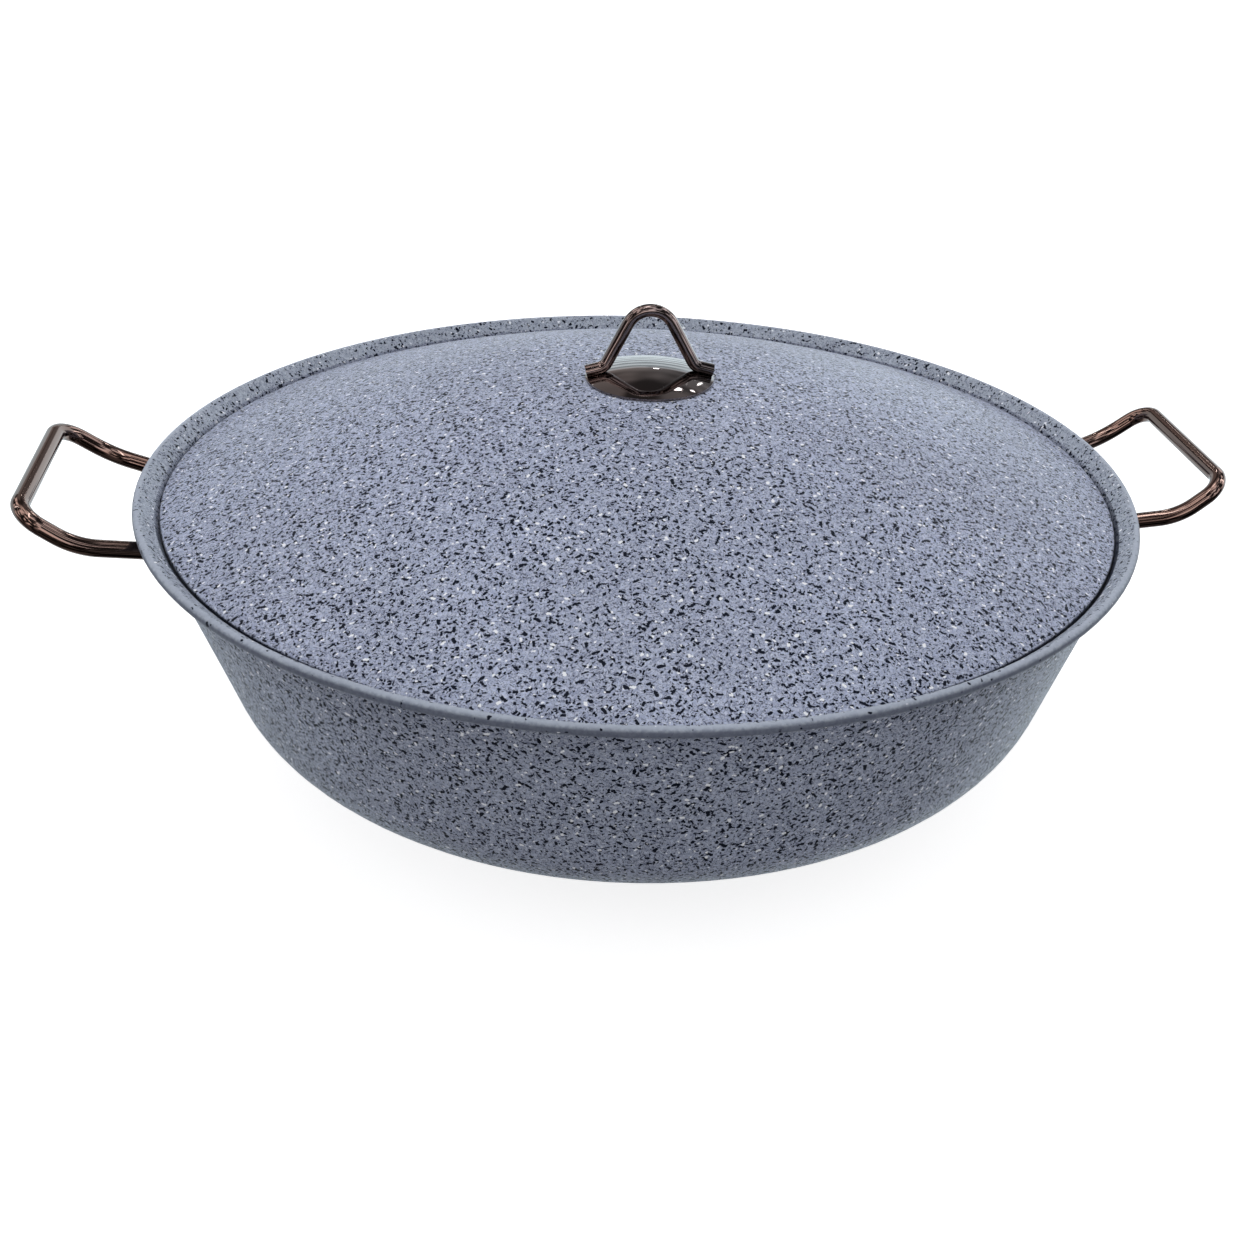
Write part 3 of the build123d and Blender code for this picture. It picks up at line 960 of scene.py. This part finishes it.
@dataclass(frozen=True)
class Surroundings:
    """Soft light all round, and what polished metal mirrors. Spans are parts of a unit direction."""

    ambient: float = 0.45
    room_tone: Rgb = (1.0, 0.88, 0.84)
    window_tone: Rgb = (0.93, 0.90, 0.92)
    window_side: Span = (-0.1, 0.4)
    backdrop_tone: Rgb = (0.88, 1.0, 1.06)
    backdrop_top: Span = (0.30, 0.37)
    backdrop_depth: Span = (0.0, 0.35)
    backdrop_side: Span = (-0.45, -0.15)
    backdrop_glow: Span = (0.75, 1.4)
    stripes: float = 80.0
    stripe_side: Span = (0.20, 0.32)
    stripe_glow: float = 0.42
    stripe_dim: float = -0.5
    calm_clouds: float = 4.0
    calm_band: Span = (0.38, 0.62)
    calm_glow: Span = (0.07, 0.36)
    calm_depth: Span = (0.15, 0.45)
    calm_side: Span = (0.30, 0.45)
    clutter_clouds: float = 3.6
    clutter_band: Span = (0.49, 0.59)
    clutter_glow: Span = (0.04, 2.3)
    ground_line: Span = (-0.12, 0.12)
    ground_glow: float = 0.08

    def backdrop(self, graph: Graph, way: Socket) -> Socket:
        """Brightness of the striped backdrop.

        Args:
            graph: The world's tree.
            way: Direction of view.

        Returns:
            The brightness.
        """
        stripes = graph.math("SINE", graph.math("MULTIPLY", graph.part(way, 2), self.stripes))
        aside = graph.math("ABSOLUTE", graph.part(way, 0))
        middle = graph.step(aside, *self.stripe_side, 1.0, 0.0)
        side = graph.step(graph.part(way, 0), *self.backdrop_side, *self.backdrop_glow)
        shift = graph.math("MULTIPLY_ADD", stripes, self.stripe_glow, self.stripe_dim)
        return graph.math("MULTIPLY_ADD", middle, shift, side)

    def room(self, graph: Graph, way: Socket) -> Socket:
        """Brightness of the room: calm above the backdrop, cluttered elsewhere.

        Args:
            graph: The world's tree.
            way: Direction of view.

        Returns:
            The brightness.
        """
        feeds = {"Vector": way, "Scale": self.calm_clouds, "Detail": 1.0}
        cloud = graph.node("TexNoise", feeds).outputs[0]
        calm = graph.step(cloud, *self.calm_band, *self.calm_glow)
        feeds = {"Vector": way, "Scale": self.clutter_clouds, "Detail": 1.6}
        clutter = graph.node("TexNoise", feeds).outputs[0]
        busy = graph.step(clutter, *self.clutter_band, *self.clutter_glow)
        dim = graph.step(graph.part(way, 2), *self.ground_line, self.ground_glow, 1.0)
        busy = graph.math("MULTIPLY", busy, dim)
        aside = graph.math("ABSOLUTE", graph.part(way, 0))
        facing = graph.math(
            "MULTIPLY",
            graph.step(graph.part(way, 1), *self.calm_depth),
            graph.step(aside, *self.calm_side, 1.0, 0.0),
        )
        return graph.between(facing, busy, calm)

    def build(self) -> None:
        """Set the world, white where the camera sees it."""
        world = bpy.data.worlds.new("studio")
        world.use_nodes = True
        bpy.context.scene.world = world
        graph = Graph(world.node_tree)
        glow = world.node_tree.nodes["Background"]
        way = graph.node("TexCoord", {}).outputs["Generated"]
        wall = graph.math(
            "MULTIPLY",
            graph.step(graph.part(way, 2), *self.backdrop_top, 1.0, 0.0),
            graph.step(graph.part(way, 1), *self.backdrop_depth),
        )
        mirrored = graph.between(wall, self.room(graph, way), self.backdrop(graph, way))
        path = graph.node("LightPath", {})
        shiny = path.outputs["Is Glossy Ray"]
        soft = graph.step(path.outputs["Is Camera Ray"], 0.0, 1.0, self.ambient, 1.0)
        window = graph.step(graph.part(way, 0), *self.window_side)
        tone = graph.mix(window, self.room_tone, self.window_tone)
        tone = graph.mix(wall, tone, self.backdrop_tone)
        graph.feed(glow.inputs["Color"], graph.mix(shiny, (1.0, 1.0, 1.0), tone))
        graph.feed(glow.inputs["Strength"], graph.between(shiny, soft, mirrored))


@dataclass
class Studio:
    """Pale floor, soft lights and the camera."""

    floor_size: float = 12.0
    floor_colour: Rgb = (0.70, 0.70, 0.70)
    floor_bounce: Rgb = (0.46, 0.46, 0.47)
    floor_glow: float = 0.80
    surroundings: Surroundings = field(default_factory=Surroundings)
    lens: float = 43.97
    shift: Span = (-0.0962, 0.1222)
    camera_place: tuple[float, float, float] = (-0.09107, -0.70602, 0.4449)
    camera_right: tuple[float, float, float] = (0.983332, -0.174254, 0.051893)
    camera_up: tuple[float, float, float] = (0.056137, 0.562448, 0.824925)
    lights: tuple[Softbox, ...] = (
        Softbox("key", (-0.1, 1.15, 2.1), (0.8, 0.6), 17.0),
        Softbox("overhead", (0.0, 0.0, 2.0), (1.6, 1.2), 5.0),
        Softbox("left", (-1.7, 0.3, 0.4), (0.8, 0.8), 2.9),
        Softbox("right", (1.7, 0.3, 0.6), (0.8, 0.8), 1.5),
        Softbox("front", (0.1, -2.0, 0.5), (1.2, 0.5), 3.0),
        Softbox("strip_overhead", (-0.1, -0.2, 1.9), (0.08, 1.5), 2.4, Reach.GLINT),
        Softbox("strip_left", (-1.5, 0.3, 1.3), (0.10, 1.2), 1.7, Reach.GLINT),
        Softbox("strip_right", (1.5, 0.1, 1.1), (0.12, 1.2), 2.2, Reach.GLINT),
        Softbox("lamp_middle", (0.346, 1.068, 1.168), (0.11, 0.09), 0.40, Reach.GLINT),
        Softbox("lamp_low", (0.444, 1.289, 0.813), (0.045, 0.04), 0.05, Reach.GLINT),
        Softbox("lamp_high", (0.408, 1.175, 1.015), (0.045, 0.04), 0.05, Reach.GLINT),
        Softbox("lamp_tall", (0.513, 1.206, 0.912), (0.02, 0.12), 0.04, Reach.GLINT),
        Softbox("lamp_side", (0.479, 1.062, 1.12), (0.035, 0.035), 0.03, Reach.GLINT),
        Softbox("lamp_left", (-0.229, 1.274, 0.94), (0.09, 0.03), 0.05, Reach.GLINT),
        Softbox("lamp_back", (0.214, 1.384, 0.73), (0.03, 0.02), 0.02, Reach.GLINT),
    )

    def floor(self) -> None:
        """Lay the floor."""
        mesh = bmesh.new()
        bmesh.ops.create_grid(mesh, x_segments=1, y_segments=1, size=self.floor_size / 2)
        data = bpy.data.meshes.new("floor")
        mesh.to_mesh(data)
        mesh.free()
        floor = bpy.data.objects.new("floor", data)
        bpy.context.scene.collection.objects.link(floor)
        material = bpy.data.materials.new("floor")
        material.use_nodes = True
        shader = material.node_tree.nodes["Principled BSDF"]
        graph = Graph(material.node_tree)
        seen = graph.node("LightPath", {}).outputs["Is Camera Ray"]
        graph.feed(shader.inputs["Base Color"], graph.mix(seen, self.floor_bounce, self.floor_colour))
        graph.feed(shader.inputs["Roughness"], 0.9)
        graph.feed(shader.inputs["Emission Color"], (1.0, 1.0, 1.0))
        graph.feed(shader.inputs["Emission Strength"], graph.math("MULTIPLY", seen, self.floor_glow))
        data.materials.append(material)
        floor.visible_glossy = False

    def camera(self) -> None:
        """Set the camera at the photograph's viewing angle."""
        data = bpy.data.cameras.new("camera")
        data.lens, data.sensor_width = self.lens, 36.0
        data.shift_x, data.shift_y = self.shift
        data.clip_start, data.clip_end = 0.01, 50.0
        camera = bpy.data.objects.new("camera", data)
        right, up = Vector(self.camera_right), Vector(self.camera_up)
        turn = Matrix((right, up, right.cross(up))).transposed().to_4x4()
        camera.matrix_world = Matrix.Translation(self.camera_place) @ turn
        bpy.context.scene.collection.objects.link(camera)
        bpy.context.scene.camera = camera

    def build(self) -> None:
        """Set up floor, surroundings, lights, camera and tone."""
        self.floor()
        self.surroundings.build()
        for light in self.lights:
            light.build()
        self.camera()
        bpy.context.scene.view_settings.view_transform = "Standard"


def main() -> None:
    """Build the sub-assemblies in order."""
    for part in (PanBody(), SideHandles(), Lid(), Studio()):
        part.build()
        log.info("built %s", type(part).__name__)


if __name__ == "__main__":
    logging.basicConfig(level=logging.INFO, format="%(name)s: %(message)s")
    main()
